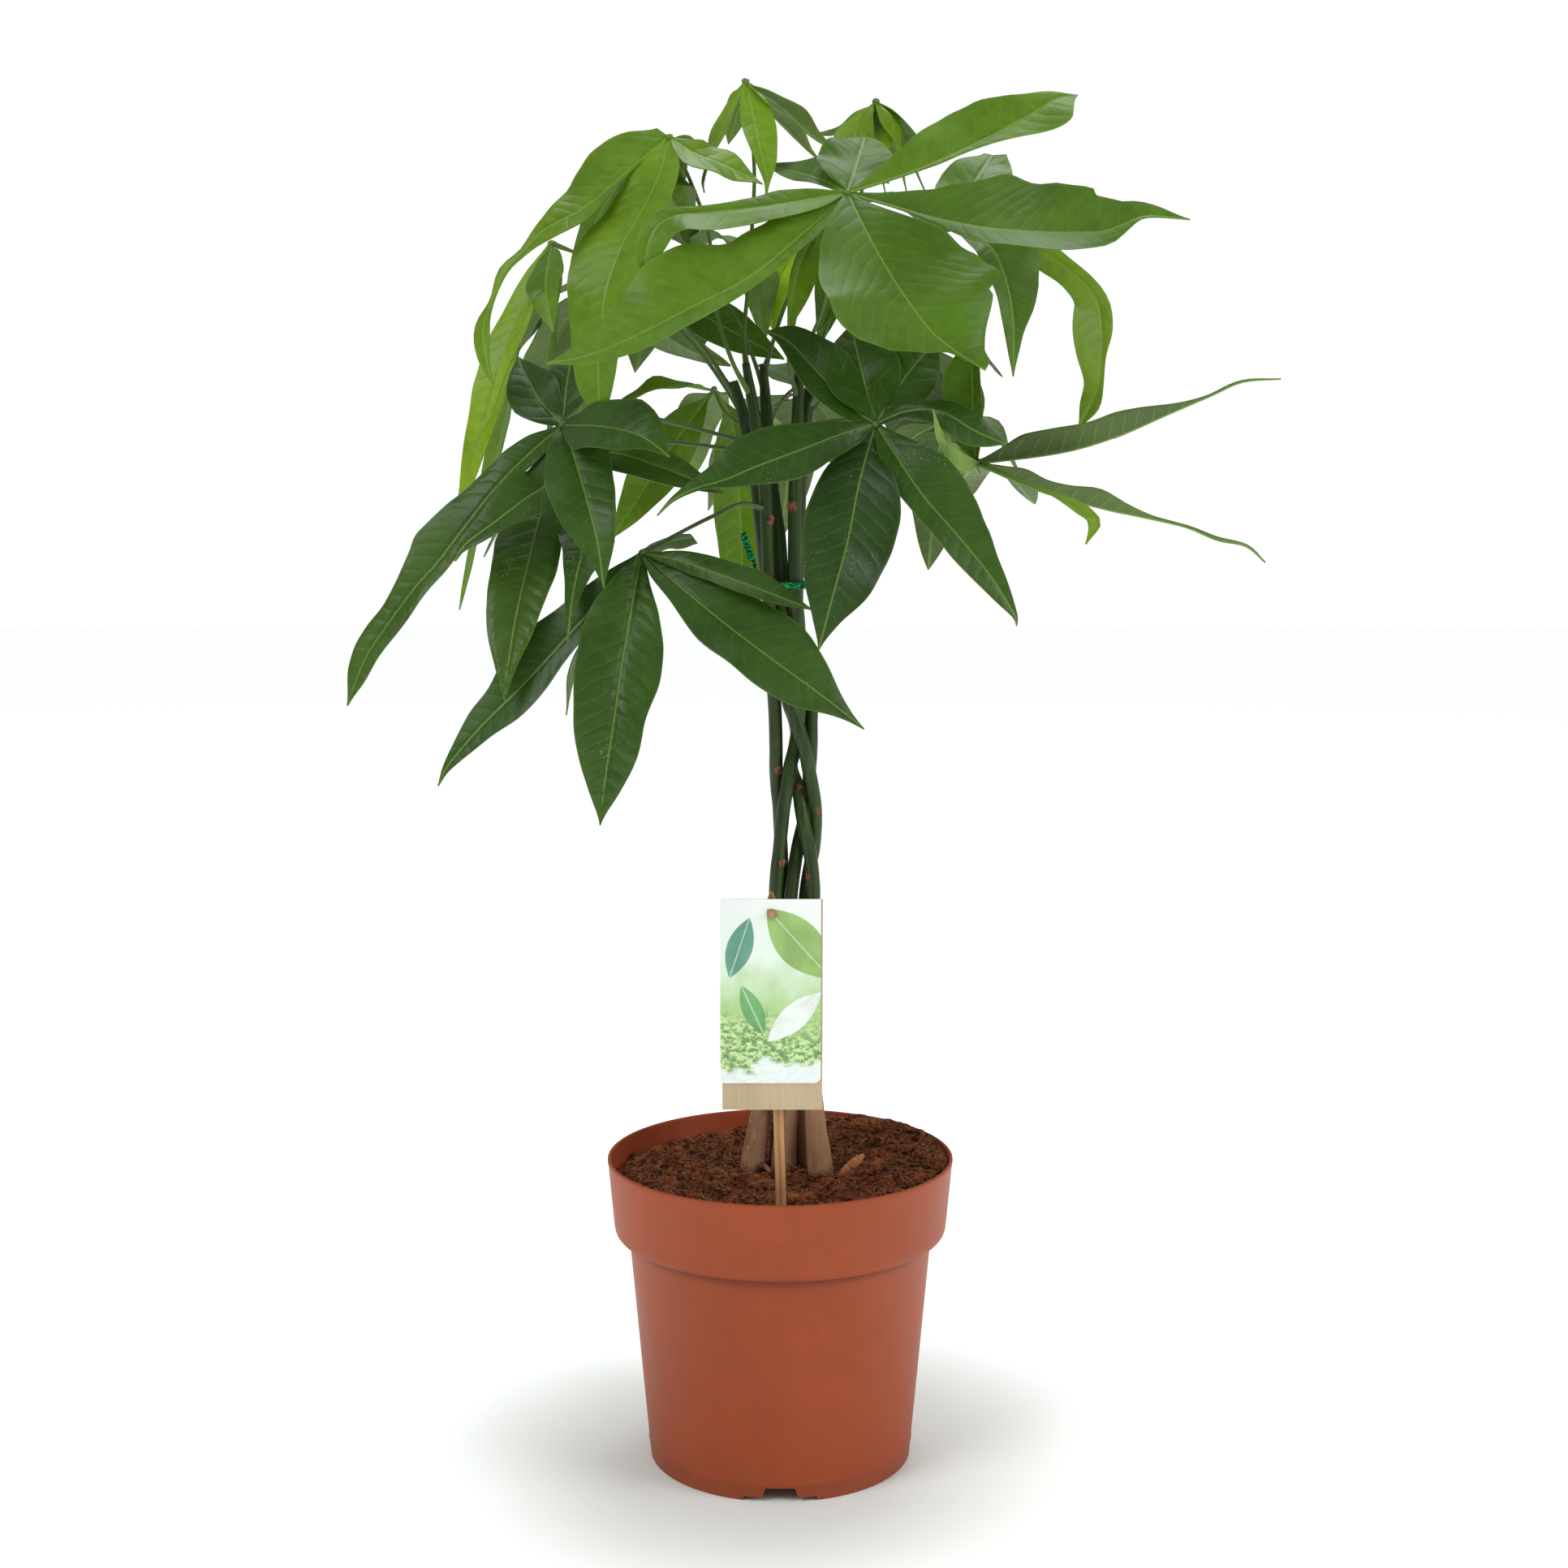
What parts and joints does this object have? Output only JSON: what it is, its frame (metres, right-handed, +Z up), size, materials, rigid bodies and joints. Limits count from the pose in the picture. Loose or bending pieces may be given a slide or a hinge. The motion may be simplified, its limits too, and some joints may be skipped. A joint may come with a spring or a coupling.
{
  "type": "potted money tree",
  "caption": "Braided money tree with palmate leaves, growing from soil in a flared terracotta-coloured nursery pot, with a wooden plant label staked in front.",
  "frame": {"origin": "middle of the pot's underside, on the surface that the pot stands on", "axes": "+Z up along the pot's axis, -Y towards the side with the label"},
  "size_m": [0.4164, 0.2611, 0.6608],
  "materials": {
    "pot_plastic": "terracotta-coloured moulded plastic, satin, with fine scuffs",
    "soil_mix": "loose coir and peat, rough and matte",
    "stem_bark": "smooth green bark above, grey-brown woody foot",
    "dark_leaf": "mature leaf, waxy, pale ribs",
    "mid_leaf": "grown leaf, satin, pale ribs",
    "young_leaf": "young leaf, glossy yellow-green, lets light through",
    "green_foil": "shiny crinkled foil strip",
    "label_wood": "bare planed softwood",
    "printed_card": "glossy card with a plain leaf design",
    "peg_wood": "round hardwood peg"
  },
  "bodies": {
    "root": {"pot": "pot_plastic", "soil": "soil_mix", "stem_1": "stem_bark", "stem_2": "stem_bark", "stem_3": "stem_bark", "stem_4": "stem_bark", "stem_5": "stem_bark", "leaf_01": "mid_leaf", "leaf_02": "young_leaf", "leaf_03": "young_leaf", "leaf_04": "young_leaf", "leaf_05": "young_leaf", "leaf_06": "dark_leaf", "leaf_07": "dark_leaf", "leaf_08": "dark_leaf", "leaf_09": "mid_leaf", "leaf_10": "mid_leaf", "leaf_11": "dark_leaf", "leaf_12": "mid_leaf", "leaf_13": "mid_leaf", "leaf_14": "young_leaf", "leaf_15": "dark_leaf", "leaf_16": "mid_leaf", "leaf_17": "dark_leaf", "leaf_18": "mid_leaf", "leaf_19": "mid_leaf", "foil_tie": "green_foil", "label_stake": "label_wood", "label_board": "label_wood", "label_card": "printed_card", "label_peg": "peg_wood"}
  },
  "joints": []
}
